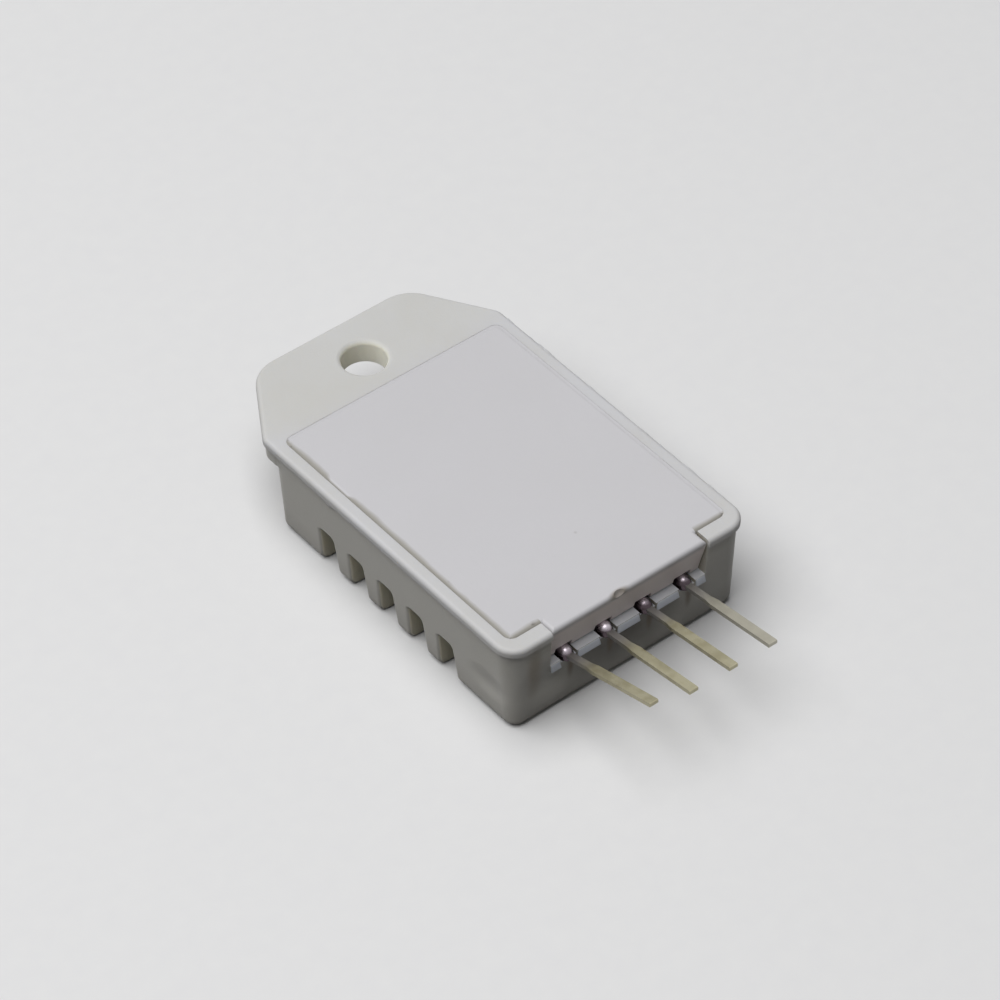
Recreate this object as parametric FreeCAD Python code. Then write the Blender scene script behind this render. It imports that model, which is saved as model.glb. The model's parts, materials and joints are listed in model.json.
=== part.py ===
import FreeCAD, Part
import math
import os

# Four-pin temperature and humidity sensor, lying on its vent face with its back up.
# Millimetres. +Z is the back, +Y points to the screw ear, the pins leave towards -Y.
# The origin is the middle of the whole part's footprint, on the vent face.
V = FreeCAD.Vector

# Case, outside
RIM_WIDTH = 15.4          # across the rim at the back
BODY_LENGTH = 20.0        # rim, from the pin end to the ear
OVERALL_LENGTH = 24.5     # from the pin end to the far edge of the ear
THICKNESS = 5.9           # vent face to back
DRAFT = 3.5               # degrees that the walls lean in towards the vent face
CORNER_R = 1.2            # upright corners at the rim
FOOT_CORNER_R = 0.65      # the same corners near the vent face
FOOT_R = 0.5              # rounding around the vent face
ROUNDING_STEPS = 4        # outlines that the rounding is lofted through
RIM_LIP = 0.12            # the rim stands this much proud of the walls
RIM_HEIGHT = 0.45
TOP_EDGE_R = 0.25
EAR_THICKNESS = 1.4
EAR_FAR_HALF = 4.9        # half width of the ear at its far edge
EAR_CORNER_R = 2.1
EAR_SHOULDER_R = 0.9
EAR_ROOT = 0.8            # how far the ear's slab reaches into the body
EAR_SLAB_INSET = 0.2      # below the rim the slab is this much narrower, on each side
EAR_HOLE_D = 2.45
HOLE_EDGE_R = 0.25        # rounding of the hole's upper edge
EAR_HOLE_FROM_EDGE = 2.95

# Case, inside
SIDE_WALL = 0.9
END_WALL = 1.15
FLOOR = 1.0
CAVITY_EDGE_R = 0.3
RIM_WALL = 0.72           # rim beside the cover
FRONT_RIM_WALL = 0.95     # rim at the pin end
COVER_THICKNESS = 1.2
COVER_GAP = 0.03          # seam between cover and rim
TONGUE_GAP = 0.1          # beside the tongue
COVER_EDGE_R = 0.22       # its upper edge; from the left and front the rounding runs on round the plate
COVER_CORNER_R = 0.45
RECESS_CORNER_R = 0.5
TONGUE_HALF = 4.9
TONGUE_TOP_INSET = 0.07   # the tongue's upper edge, behind the pin end
TONGUE_FOOT_INSET = 0.75  # its lower edge, further in
TONGUE_FOOT_LENGTH = 0.75
TONGUE_LAP = 1.2          # how far the tongue's block runs into the cover's plate
TONGUE_SLIT = 0.1         # between the tongue and the land below it
TONGUE_POCKET = 0.36      # room in the tongue's foot over each solder drop
GATE_MARK_X = -0.7        # small moulding mark in the tongue's edge
GATE_MARK_R = 0.5
GATE_MARK_OUT = 0.15      # its ball's middle lies this much outside the pin end
GATE_MARK_UP = 0.1        # and this much above the back

# Vents
VENT_COUNT = 5
VENT_PITCH = 2.42
VENT_WIDTH = 1.1
FIRST_VENT = 5.7          # from the pin end
VENT_TOP = 3.45           # below the back
VENT_CORNER_R = 0.25
VENT_WIDENING = 0.12      # per millimetre of depth, on the slot's side towards the pins
VENT_EDGE_R = 0.5         # rounding of that side at the vent face
VENT_MOUTH_R = 0.18       # softened outer edges of the slots
VENT_RIB_WIDTH = 0.9
VENT_RIB_STEP = 3.4
VENT_RIB_RECESS = 0.2

# Board and pins
BOARD_THICKNESS = 0.8
BOARD_GAP = 0.2           # board to the case walls
BOARD_TOP_DEPTH = 2.7     # board's upper side, below the back
POST = 1.5                # square posts that carry the board
ROOT = 0.05               # how deep a post or rib is rooted in its wall
PEG_R = 0.6               # cover pegs that hold the board down
PEG_FROM_SIDE = 0.95      # their places, from the case's inner walls
PEG_FROM_FRONT = 3.2
PEG_FROM_REAR = 0.9
PIN_PITCH = 2.54
PIN_THICKNESS = 0.25
PIN_NECK = 0.38
PIN_WIDTH = 0.52
PIN_REACH = 6.2           # past the pin end
NECK_REACH = 1.3
SHOULDER_LENGTH = 0.5
PIN_BEND_INSET = 0.5      # the bend lies this much inside the pin end
PIN_BEND_R = 0.5
PIN_TIP_R = 0.06
PIN_SEAT = 2.2            # length on the board
DROP_INSET = 0.72         # middle of a solder drop, from the pin end
DROP_SIZE = (0.46, 0.64, 0.6)   # half width, half length, height
TOOTH_DEPTH = 2.5         # land between the pins, below the back
NOTCH_WIDTH = 1.06
NOTCH_SINK = 0.25         # floor of a pin notch, below the land
RELIEF = 0.05             # shallow groove in the wall below each notch
RELIEF_HEIGHT = 2.3
# Place in the row, and how far the tip stands above the board end
PINS = {
    "supply_pin": (1.5, 1.02),
    "data_pin": (0.5, 1.06),
    "spare_pin": (-0.5, 1.1),
    "ground_pin": (-1.5, 1.95),
}

# Small parts on the board
FIT = 0.08                # room around a wire in its hole
WIRE_R = 0.2
CHIP_LENGTH = 8.65
CHIP_WIDTH = 3.9
CHIP_HEIGHT = 1.2
CHIP_STAND = 0.12
CHIP_LEAD_PITCH = 1.27
CHIP_LEADS_PER_SIDE = 7
CHIP_LEAD_WIDTH = 0.42
CHIP_LEAD_REACH = 1.05
CHIP_LEAD_T = 0.15
CHIP_KNEE = 0.35          # the leads run this far out before they bend down
CHIP_LEAD_SLOPE = 0.12
CHIP_DRAFT = 0.12         # how much each half of the body narrows
CHIP_DIMPLE_R = 0.35
CHIP_DIMPLE_DEPTH = 0.08
CHIP_DIMPLE_INSET = (0.75, 0.8)
ELEMENT_WIDTH = 5.0
ELEMENT_LENGTH = 7.6
ELEMENT_THICKNESS = 0.5
ELEMENT_LIFT = 0.34       # share of the free height under the board that is below the element
FILM_T = 0.08
COMB_TOOTH = 0.3
COMB_TEETH = 6
COMB_MARGIN = (0.35, 0.4) # from the element's sides and ends
COMB_TAIL = 1.6           # bare length of the spines, for the legs
BEAD_R = 0.4
BEAD_WIRE_R = 0.125
BEAD_WIRE_SPAN = 0.6      # between the bead's two wires
BEAD_OFFSET = 0.6         # from the middle of the vents, towards the ear
LEG_BEND = 0.7            # the element's legs bend this far past its end
LEG_OVERLAP = 0.9         # and lie this far on it
SOLDER_FOOT = 0.16        # width of a solder cone's ring around its wire
SOLDER_TIP = 0.05
BOARD_CORNER_R = 0.4
WIRE_STUB = 0.35          # wire ends stand this far above the board
CAPACITOR_LENGTH = 2.0
CAPACITOR_WIDTH = 1.25
CAPACITOR_HEIGHT = 0.85
RESISTOR_LENGTH = 1.6
RESISTOR_WIDTH = 0.8
RESISTOR_HEIGHT = 0.45

# Derived places
FRONT = (PIN_REACH - OVERALL_LENGTH) / 2
REAR = FRONT + BODY_LENGTH
EAR_END = FRONT + OVERALL_LENGTH
HALF = RIM_WIDTH / 2
LEAN = math.tan(math.radians(DRAFT))
LEDGE_Z = THICKNESS - COVER_THICKNESS
BOARD_TOP = THICKNESS - BOARD_TOP_DEPTH
BOARD_BOTTOM = BOARD_TOP - BOARD_THICKNESS
LAND_Z = THICKNESS - TOOTH_DEPTH
TONGUE_Z = LAND_Z + TONGUE_SLIT
CAVITY_HALF = HALF - RIM_LIP - (THICKNESS - FLOOR) * LEAN - SIDE_WALL
CAVITY_FRONT = FRONT + END_WALL
CAVITY_REAR = REAR - END_WALL
BOARD_HALF = CAVITY_HALF - BOARD_GAP
BOARD_FRONT = CAVITY_FRONT + BOARD_GAP / 2
BOARD_REAR = CAVITY_REAR - BOARD_GAP
COVER_HALF = HALF - RIM_WALL
COVER_FRONT = FRONT + FRONT_RIM_WALL
COVER_REAR = REAR - RIM_WALL
VENT_CENTRES = [FRONT + FIRST_VENT + i * VENT_PITCH for i in range(VENT_COUNT)]
VENT_MIDDLE = sum(VENT_CENTRES) / VENT_COUNT
ELEMENT_Z = FLOOR + ELEMENT_LIFT * (BOARD_BOTTOM - FLOOR - ELEMENT_THICKNESS)
BEAD_X = -(ELEMENT_WIDTH / 2 + BOARD_HALF) / 2 - 0.3
BEAD_Z = (FLOOR + BOARD_BOTTOM) / 2
WIRE_TOP = BOARD_TOP + WIRE_STUB


def box(x0, x1, y0, y1, z0, z1):
    return Part.makeBox(x1 - x0, y1 - y0, z1 - z0, V(x0, y0, z0))


def flat(z):
    """Maps section points to a level plane at height z."""
    return lambda u, v: V(u, v, z)


def across(x):
    """Maps (y, z) section points to the upright plane at x."""
    return lambda u, v: V(x, u, v)


def along(y):
    """Maps (x, z) section points to the upright plane at y."""
    return lambda u, v: V(u, y, v)


def outline(corners, place):
    """Closed wire through (u, v, radius) corners, each rounded by its radius."""
    points = [place(u, v) for u, v, r in corners]
    stops = []
    for i, (u, v, r) in enumerate(corners):
        here = points[i]
        if r == 0:
            stops.append((here, here, here))
            continue
        back = (points[i - 1] - here).normalize()
        ahead = (points[(i + 1) % len(points)] - here).normalize()
        half_angle = math.acos(back.dot(ahead)) / 2
        middle = (back + ahead).normalize()
        setback = r / math.tan(half_angle)
        arc_top = here + middle * (r / math.sin(half_angle) - r)
        stops.append((here + back * setback, arc_top, here + ahead * setback))
    edges = []
    for i, (start, arc_top, end) in enumerate(stops):
        if start != end:
            edges.append(Part.Arc(start, arc_top, end).toShape())
        next_start = stops[(i + 1) % len(stops)][0]
        if (next_start - end).Length > 1e-6:
            edges.append(Part.makeLine(end, next_start))
    return Part.Wire(edges)


def prism(corners, place, direction):
    return Part.Face(outline(corners, place)).extrude(direction)


def rectangle(half, y0, y1, r):
    return [(-half, y0, r), (half, y0, r), (half, y1, r), (-half, y1, r)]


def rod(points, radius):
    """Round wire through points, with ball-shaped bends."""
    shape = Part.makeSphere(radius, points[0])
    for a, b in zip(points, points[1:]):
        shape = shape.fuse(Part.makeCylinder(radius, (b - a).Length, a, b - a))
        shape = shape.fuse(Part.makeSphere(radius, b))
    return shape.removeSplitter()


def top_edges(shape):
    return [e for e in shape.Edges if abs(e.BoundBox.ZMin - THICKNESS) < 1e-6]


def wall_outline(z, shrink=0):
    """The drafted walls' outline at height z, shrunk evenly for the rounding below."""
    inset = RIM_LIP + (THICKNESS - z) * LEAN + shrink
    corner_r = FOOT_CORNER_R + (CORNER_R - FOOT_CORNER_R) * z / THICKNESS - shrink
    return outline(rectangle(HALF - inset, FRONT + inset, REAR - inset, corner_r), flat(z))


def plate(z, height, inset=0):
    """Slab with the rim's outline, running on into the screw ear's taper."""
    half = HALF - inset
    corners = [
        (-half, FRONT, CORNER_R),
        (half, FRONT, CORNER_R),
        (half, REAR, EAR_SHOULDER_R),
        (EAR_FAR_HALF, EAR_END, EAR_CORNER_R),
        (-EAR_FAR_HALF, EAR_END, EAR_CORNER_R),
        (-half, REAR, EAR_SHOULDER_R),
    ]
    return prism(corners, flat(z), V(0, 0, height))


def case_body():
    """One solid block: a foot rounding lofted through stacked outlines, drafted walls, a proud rim."""
    levels = []
    for i in range(ROUNDING_STEPS + 1):
        angle = math.pi / 2 * i / ROUNDING_STEPS
        levels.append(wall_outline(FOOT_R * (1 - math.cos(angle)), FOOT_R * (1 - math.sin(angle))))
    foot = Part.makeLoft(levels, True, False)
    rim_z = THICKNESS - RIM_HEIGHT
    walls = Part.makeLoft([levels[-1], wall_outline(rim_z)], True, True)
    rim = plate(rim_z, RIM_HEIGHT)
    rim = rim.makeFillet(TOP_EDGE_R, top_edges(rim))
    return foot.fuse(walls).fuse(rim)


def ear():
    """The ear's part below the rim, rooted in the body's end wall."""
    bottom = THICKNESS - EAR_THICKNESS
    slab = plate(bottom, EAR_THICKNESS - RIM_HEIGHT, EAR_SLAB_INSET)
    return slab.common(box(-HALF, HALF, REAR - EAR_ROOT, EAR_END, bottom, THICKNESS))


def vent_cutter(centre):
    """One cross slot: upright towards the ear, leaning and rounded out towards the pins."""
    side = VENT_WIDTH / 2
    top = THICKNESS - VENT_TOP
    mouth = centre - side - top * VENT_WIDENING
    corners = [
        (mouth - 2 * VENT_EDGE_R, -0.02, 0),
        (mouth - 2 * VENT_EDGE_R, -1, 0),
        (centre + side, -1, 0),
        (centre + side, top, VENT_CORNER_R),
        (centre - side, top, VENT_CORNER_R),
        (mouth, -0.02, VENT_EDGE_R),
    ]
    return prism(corners, across(-RIM_WIDTH), V(2 * RIM_WIDTH, 0, 0))


def vented_block():
    """The solid block with its vent slots cut across it and their outer edges softened."""
    body = case_body()
    for centre in VENT_CENTRES:
        body = body.cut(vent_cutter(centre))
    body = body.removeSplitter()
    ear_sides = [centre + VENT_WIDTH / 2 for centre in VENT_CENTRES]
    roof = THICKNESS - VENT_TOP - VENT_CORNER_R
    mouths = []
    for edge in body.Edges:
        bounds = edge.BoundBox
        on_side = bounds.YLength < 1e-4 and any(abs(bounds.YMin - y) < 1e-4 for y in ear_sides)
        at_roof = bounds.ZMin > roof - 1e-3 and bounds.XLength > 1
        if on_side and not at_roof:
            mouths.append(edge)
    return body.makeFillet(VENT_MOUTH_R, mouths)


def ear_hole():
    """Turned cutter for the screw hole: a bore that flares in an arc at the ear's upper edge."""
    bore = EAR_HOLE_D / 2
    wide = bore + HOLE_EDGE_R
    edge_z = THICKNESS - HOLE_EDGE_R
    step = HOLE_EDGE_R * math.sin(math.pi / 4)
    arc_middle = V(wide - step, 0, edge_z + step)
    flare = Part.Arc(V(bore, 0, edge_z), arc_middle, V(wide, 0, THICKNESS)).toShape()
    over = 2 * THICKNESS
    sides = [(wide, THICKNESS), (wide, over), (0, over), (0, 0), (bore, 0), (bore, edge_z)]
    rest = Part.makePolygon([V(x, 0, z) for x, z in sides])
    cutter = Part.Face(Part.Wire([flare] + rest.Edges)).revolve(V(0, 0, 0), V(0, 0, 1), 360)
    cutter.translate(V(0, EAR_END - EAR_HOLE_FROM_EDGE, 0))
    return cutter


def housing():
    shell = vented_block().fuse(ear()).removeSplitter()
    shell = shell.cut(ear_hole())
    hollow = [
        (-CAVITY_HALF, FLOOR, CAVITY_EDGE_R),
        (CAVITY_HALF, FLOOR, CAVITY_EDGE_R),
        (CAVITY_HALF, LEDGE_Z, 0),
        (-CAVITY_HALF, LEDGE_Z, 0),
    ]
    cavity = prism(hollow, along(CAVITY_FRONT), V(0, CAVITY_REAR - CAVITY_FRONT, 0))
    recess_plan = rectangle(COVER_HALF, COVER_FRONT, COVER_REAR, RECESS_CORNER_R)
    recess = prism(recess_plan, flat(LEDGE_Z), V(0, 0, COVER_THICKNESS))
    shell = shell.cut(cavity).cut(recess)
    ribs = []
    rib_start = VENT_CENTRES[0] - VENT_WIDTH
    rib_end = VENT_CENTRES[-1] + VENT_WIDTH
    for i in (-1, 0, 1):
        x0 = i * VENT_RIB_STEP - VENT_RIB_WIDTH / 2
        ribs.append(box(x0, x0 + VENT_RIB_WIDTH, rib_start, rib_end, VENT_RIB_RECESS, FLOOR))
    for sx in (-1, 1):
        outer = sx * (CAVITY_HALF + ROOT)
        inner = sx * (CAVITY_HALF - POST)
        x0, x1 = sorted((outer, inner))
        ribs.append(box(x0, x1, CAVITY_FRONT - ROOT, CAVITY_FRONT + POST, FLOOR - ROOT, BOARD_BOTTOM))
        ribs.append(box(x0, x1, CAVITY_REAR - POST, CAVITY_REAR + ROOT, FLOOR - ROOT, BOARD_BOTTOM))
    shell = shell.multiFuse(ribs)
    # Window in the pin end for the cover's tongue and the pins
    opening = TONGUE_HALF + TONGUE_GAP
    shell = shell.cut(box(-opening, opening, FRONT - 1, CAVITY_FRONT + 0.01, LAND_Z, THICKNESS + 1))
    for place, rise in PINS.values():
        x = place * PIN_PITCH
        notch_floor = LAND_Z - NOTCH_SINK
        left, right = x - NOTCH_WIDTH / 2, x + NOTCH_WIDTH / 2
        shell = shell.cut(box(left, right, FRONT - 1, CAVITY_FRONT + 0.01, notch_floor, LAND_Z + 0.1))
        relief_top = notch_floor + ROOT
        depth = RIM_LIP + (THICKNESS - relief_top) * LEAN + RELIEF
        shell = shell.cut(box(left, right, FRONT - 1, FRONT + depth, relief_top - RELIEF_HEIGHT, relief_top))
    return shell.removeSplitter()


def cover():
    half, low, high = COVER_HALF - COVER_GAP, COVER_FRONT + COVER_GAP, COVER_REAR - COVER_GAP
    base = prism(rectangle(half, low, high, COVER_CORNER_R), flat(LEDGE_Z), V(0, 0, COVER_THICKNESS))
    foot_front = FRONT + TONGUE_FOOT_INSET
    foot_back = foot_front + TONGUE_FOOT_LENGTH
    section = [
        (FRONT + TONGUE_TOP_INSET, THICKNESS, 0),
        (foot_front, TONGUE_Z, 0),
        (foot_back, TONGUE_Z, 0),
        (foot_back, LEDGE_Z, 0),
        (low + TONGUE_LAP, LEDGE_Z, 0),
        (low + TONGUE_LAP, THICKNESS, 0),
    ]
    tongue = prism(section, across(-TONGUE_HALF), V(2 * TONGUE_HALF, 0, 0))
    base = base.fuse(tongue).removeSplitter()
    soft = []
    for edge in top_edges(base):
        bounds = edge.BoundBox
        if bounds.XMax < RECESS_CORNER_R - half or bounds.YMax < low + RECESS_CORNER_R:
            soft.append(edge)
    base = base.makeFillet(COVER_EDGE_R, soft)
    pegs = []
    for sx in (-1, 1):
        for y in (CAVITY_FRONT + PEG_FROM_FRONT, CAVITY_REAR - PEG_FROM_REAR):
            peg_at = V(sx * (CAVITY_HALF - PEG_FROM_SIDE), y, BOARD_TOP)
            pegs.append(Part.makeCylinder(PEG_R, LEDGE_Z - BOARD_TOP, peg_at))
    base = base.multiFuse(pegs)
    for place, rise in PINS.values():
        x0, x1 = place * PIN_PITCH - NOTCH_WIDTH / 2, place * PIN_PITCH + NOTCH_WIDTH / 2
        base = base.cut(box(x0, x1, FRONT, foot_back + 0.1, TONGUE_Z - 0.1, TONGUE_Z + TONGUE_POCKET))
    mark = Part.makeSphere(GATE_MARK_R, V(GATE_MARK_X, FRONT - GATE_MARK_OUT, THICKNESS + GATE_MARK_UP))
    return base.cut(mark).removeSplitter()


def pin(place, rise):
    """Flat strip: seated on the board, then bent up; a narrow neck widens to the free length."""
    x = place * PIN_PITCH
    y_in, y_bend, y_tip = BOARD_FRONT + PIN_SEAT, FRONT + PIN_BEND_INSET, FRONT - PIN_REACH
    z0, z1, up = BOARD_TOP, BOARD_TOP + PIN_THICKNESS, rise
    side = [
        (y_in, z0, 0), (y_in, z1, 0), (y_bend, z1, PIN_BEND_R),
        (y_tip, z1 + up, PIN_TIP_R), (y_tip, z0 + up, PIN_TIP_R), (y_bend, z0, PIN_BEND_R),
    ]
    strip = prism(side, across(x - PIN_WIDTH), V(2 * PIN_WIDTH, 0, 0))
    neck, wide = PIN_NECK / 2, PIN_WIDTH / 2
    y_neck = FRONT - NECK_REACH
    y_wide = y_neck - SHOULDER_LENGTH
    plan = [
        (x - neck, y_in, 0), (x - neck, y_neck, 0), (x - wide, y_wide, 0), (x - wide, y_tip - 1, 0),
        (x + wide, y_tip - 1, 0), (x + wide, y_wide, 0), (x + neck, y_neck, 0), (x + neck, y_in, 0),
    ]
    return strip.common(prism(plan, flat(0), V(0, 0, 2 * THICKNESS)))


def solder_drop(x, y, size, keep_out):
    """Half of a flattened ball at the board's upper side, cut around what it wets."""
    half_x, half_y, height = size
    ball = Part.makeSphere(1.0)
    stretch = FreeCAD.Matrix()
    stretch.scale(half_x, half_y, height)
    ball = ball.transformGeometry(stretch)
    ball.translate(V(x, y, BOARD_TOP))
    ball = ball.common(box(x - 3, x + 3, y - 3, y + 3, BOARD_TOP, THICKNESS))
    return ball.cut(keep_out)


def chip_leads(cx, cy, body_half):
    """Fourteen bent leads: foot on the board, riser, shoulder into the body's side."""
    leads = []
    t = CHIP_LEAD_T
    shoulder_z = BOARD_TOP + CHIP_STAND + CHIP_HEIGHT * 0.45
    toe = body_half + CHIP_LEAD_REACH
    knee = body_half + CHIP_KNEE
    foot = knee + CHIP_LEAD_SLOPE
    for side in (-1, 1):
        section = [
            (cx + side * body_half, shoulder_z, 0), (cx + side * knee, shoulder_z, 0),
            (cx + side * foot, BOARD_TOP, 0), (cx + side * toe, BOARD_TOP, 0),
            (cx + side * toe, BOARD_TOP + t, 0), (cx + side * (foot + t), BOARD_TOP + t, 0),
            (cx + side * (knee + t), shoulder_z + t, 0), (cx + side * body_half, shoulder_z + t, 0),
        ]
        for i in range(CHIP_LEADS_PER_SIDE):
            y = cy + (i - (CHIP_LEADS_PER_SIDE - 1) / 2) * CHIP_LEAD_PITCH - CHIP_LEAD_WIDTH / 2
            leads.append(prism(section, along(y), V(0, CHIP_LEAD_WIDTH, 0)))
    return Part.makeCompound(leads)


def chip_body(cx, cy):
    z = BOARD_TOP + CHIP_STAND
    mid = CHIP_HEIGHT / 2
    levels = []
    for dz, inset in ((0, CHIP_DRAFT), (mid, 0), (CHIP_HEIGHT, CHIP_DRAFT)):
        hx, hy = CHIP_WIDTH / 2 - inset, CHIP_LENGTH / 2 - inset
        corners = [(cx - hx, cy - hy, 0), (cx + hx, cy - hy, 0), (cx + hx, cy + hy, 0), (cx - hx, cy + hy, 0)]
        levels.append(outline(corners, flat(z + dz)))
    body = Part.makeLoft(levels, True, True)
    inset_x, inset_y = CHIP_DIMPLE_INSET
    dimple_z = z + CHIP_HEIGHT - CHIP_DIMPLE_DEPTH
    dimple_at = V(cx - CHIP_WIDTH / 2 + inset_x, cy - CHIP_LENGTH / 2 + inset_y, dimple_z)
    dimple = Part.makeCylinder(CHIP_DIMPLE_R, 2 * CHIP_DIMPLE_DEPTH, dimple_at)
    return body.cut(dimple)


def on_board(share_x, share_y):
    """A place on the board, from the shares of its half width and of its length."""
    return share_x * BOARD_HALF, BOARD_FRONT + share_y * (BOARD_REAR - BOARD_FRONT)


def two_terminal(place, size):
    """Chip component lying along Y on the board: body and its two end caps."""
    cx, cy = place
    length, width, height = size
    cap = length * 0.2
    x0, x1 = cx - width / 2, cx + width / 2
    start, end = cy - length / 2, cy + length / 2
    body = box(x0, x1, start + cap, end - cap, BOARD_TOP + 0.03, BOARD_TOP + height - 0.03)
    ends = []
    for y0 in (start, end - cap):
        block = box(x0, x1, y0, y0 + cap, BOARD_TOP, BOARD_TOP + height)
        ends.append(block.makeFillet(0.06, block.Edges))
    return body, Part.makeCompound(ends)


def comb(side):
    """One of two interlocking electrode films: a spine with teeth reaching towards the other."""
    margin_x, margin_y = COMB_MARGIN
    half = ELEMENT_WIDTH / 2 - margin_x
    start = VENT_MIDDLE - ELEMENT_LENGTH / 2 + margin_y
    end = VENT_MIDDLE + ELEMENT_LENGTH / 2 - margin_y
    z0, z1 = ELEMENT_Z - FILM_T, ELEMENT_Z
    spine = sorted((side * half, side * (half - COMB_TOOTH)))
    shapes = [box(spine[0], spine[1], start, end, z0, z1)]
    pitch = (end - COMB_TAIL - start) / (2 * COMB_TEETH - 1)
    for i in range(COMB_TEETH):
        y = start + pitch * (2 * i + (0 if side < 0 else 1))
        reach = sorted((side * (half - COMB_TOOTH / 2), -side * (half - 2.2 * COMB_TOOTH)))
        shapes.append(box(reach[0], reach[1], y, y + COMB_TOOTH, z0, z1))
    return shapes[0].multiFuse(shapes[1:]).removeSplitter()


parts = {}
parts["sensor_housing"] = housing()
parts["back_cover"] = cover()

# Humidity element hangs under the board on two bent wires, the thermistor beside it
element_end = VENT_MIDDLE + ELEMENT_LENGTH / 2
element_top = ELEMENT_Z + ELEMENT_THICKNESS
element_half = ELEMENT_WIDTH / 2
element_start = element_end - ELEMENT_LENGTH
element = box(-element_half, element_half, element_start, element_end, ELEMENT_Z, element_top)
parts["humidity_element"] = element
parts["humidity_electrodes"] = Part.makeCompound([comb(-1), comb(1)])
leg_wires = []
for side in (-1, 1):
    x = side * PIN_PITCH / 2
    low_z = element_top + WIRE_R
    bend = V(x, element_end + LEG_BEND, low_z)
    leg_wires.append(rod([V(x, element_end - LEG_OVERLAP, low_z), bend, V(x, bend.y, WIRE_TOP)], WIRE_R))
parts["humidity_legs"] = Part.makeCompound(leg_wires)

bead_y = VENT_MIDDLE + BEAD_OFFSET
bead_wires = []
for side in (-1, 1):
    x = BEAD_X + side * BEAD_WIRE_SPAN / 2
    bead_wires.append(Part.makeCylinder(BEAD_WIRE_R, WIRE_TOP - BEAD_Z, V(x, bead_y, BEAD_Z)))
bead_wires = Part.makeCompound(bead_wires)
bead_centre = V(BEAD_X, bead_y, BEAD_Z)
bead = Part.makeSphere(BEAD_R, bead_centre)
bead.rotate(bead_centre, V(0, 0, 1), 90)
parts["thermistor_bead"] = bead.cut(bead_wires)
parts["thermistor_leads"] = bead_wires

# Board with a hole for every wire
board_plan = rectangle(BOARD_HALF, BOARD_FRONT, BOARD_REAR, BOARD_CORNER_R)
board = prism(board_plan, flat(BOARD_BOTTOM), V(0, 0, BOARD_THICKNESS))
wire_places = []
for side in (-1, 1):
    wire_places.append((side * PIN_PITCH / 2, element_end + LEG_BEND, WIRE_R))
    wire_places.append((BEAD_X + side * BEAD_WIRE_SPAN / 2, bead_y, BEAD_WIRE_R))
for x, y, r in wire_places:
    board = board.cut(Part.makeCylinder(r + FIT, 2 * BOARD_THICKNESS, V(x, y, BOARD_BOTTOM - 0.1)))
parts["circuit_board"] = board

wires = Part.makeCompound(leg_wires + [bead_wires])
cones = []
for x, y, r in wire_places:
    height = WIRE_STUB - SOLDER_TIP
    cones.append(Part.makeCone(r + SOLDER_FOOT, r + SOLDER_TIP, height, V(x, y, BOARD_TOP)).cut(wires))
parts["wire_solder"] = Part.makeCompound(cones)

for name, (place, rise) in PINS.items():
    strip = pin(place, rise)
    parts[name] = strip
    parts[name + "_solder"] = solder_drop(place * PIN_PITCH, FRONT + DROP_INSET, DROP_SIZE, strip)

chip_x, chip_y = on_board(0.18, 0.51)
parts["controller_chip"] = chip_body(chip_x, chip_y)
parts["controller_chip_leads"] = chip_leads(chip_x, chip_y, CHIP_WIDTH / 2)
capacitor = (CAPACITOR_LENGTH, CAPACITOR_WIDTH, CAPACITOR_HEIGHT)
resistor = (RESISTOR_LENGTH, RESISTOR_WIDTH, RESISTOR_HEIGHT)
small_parts = {
    "decoupling_capacitor": (on_board(-0.56, 0.33), capacitor),
    "pull_up_resistor": (on_board(-0.56, 0.755), resistor),
    "series_resistor": (on_board(-0.82, 0.755), resistor),
}
for name, (place, size) in small_parts.items():
    parts[name], parts[name + "_ends"] = two_terminal(place, size)

os.makedirs("parts", exist_ok=True)
for name, shape in parts.items():
    shape.exportStep("parts/" + name + ".step")
    print(name, len(shape.Solids), shape.isValid(), round(shape.Volume, 3))
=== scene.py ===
# %% [markdown]
# # A four-pin temperature and humidity sensor, dressed and photographed
# The solid model of this small sensor is already finished: a vented housing, a back
# cover, a board with its parts and four flat pins. Blender's job is its surfaces.
# In this lesson each finish is built from shader nodes, a few marks of the moulding
# are modelled by hand, and the object is set under a soft studio light.
# Everything is in metres, in the same frame as the solid model, so one
# millimetre is written 0.001 and nothing ever has to be fitted.

# %% Load the finished solids and keep their box
import json
import math
import bmesh
import bpy
from mathutils import Matrix, Vector


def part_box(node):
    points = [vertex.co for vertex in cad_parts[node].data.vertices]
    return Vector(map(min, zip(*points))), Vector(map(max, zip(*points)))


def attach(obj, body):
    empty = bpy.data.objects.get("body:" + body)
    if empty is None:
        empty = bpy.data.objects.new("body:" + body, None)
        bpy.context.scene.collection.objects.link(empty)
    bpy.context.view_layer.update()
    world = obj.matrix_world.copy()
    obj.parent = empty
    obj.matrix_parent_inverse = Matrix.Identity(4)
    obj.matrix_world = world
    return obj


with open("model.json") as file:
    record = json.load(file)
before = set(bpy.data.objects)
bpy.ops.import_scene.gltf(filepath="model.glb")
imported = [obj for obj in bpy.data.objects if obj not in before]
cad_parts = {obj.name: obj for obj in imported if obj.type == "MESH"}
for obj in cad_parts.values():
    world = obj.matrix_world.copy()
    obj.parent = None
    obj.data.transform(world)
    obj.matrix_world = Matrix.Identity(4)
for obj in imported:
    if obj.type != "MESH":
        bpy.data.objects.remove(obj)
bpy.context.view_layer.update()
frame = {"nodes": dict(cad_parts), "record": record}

bpy.ops.object.select_all(action="DESELECT")
MM = 0.001
print("solid pieces:", len(frame["nodes"]))

# %% [markdown]
# ## Where things are
# A finish often needs to know its place: the plastic is a little sunken near the
# pin end, and the seam is tighter beside the ear. The places are read from the
# solids where they can be, so they stay right if the sensor's size changes. Four
# are typed in: how far the land between the pins lies below the back, half the
# width of the cover's tongue, where the cover's plate starts beside the tongue,
# and where the screw hole is.

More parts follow.
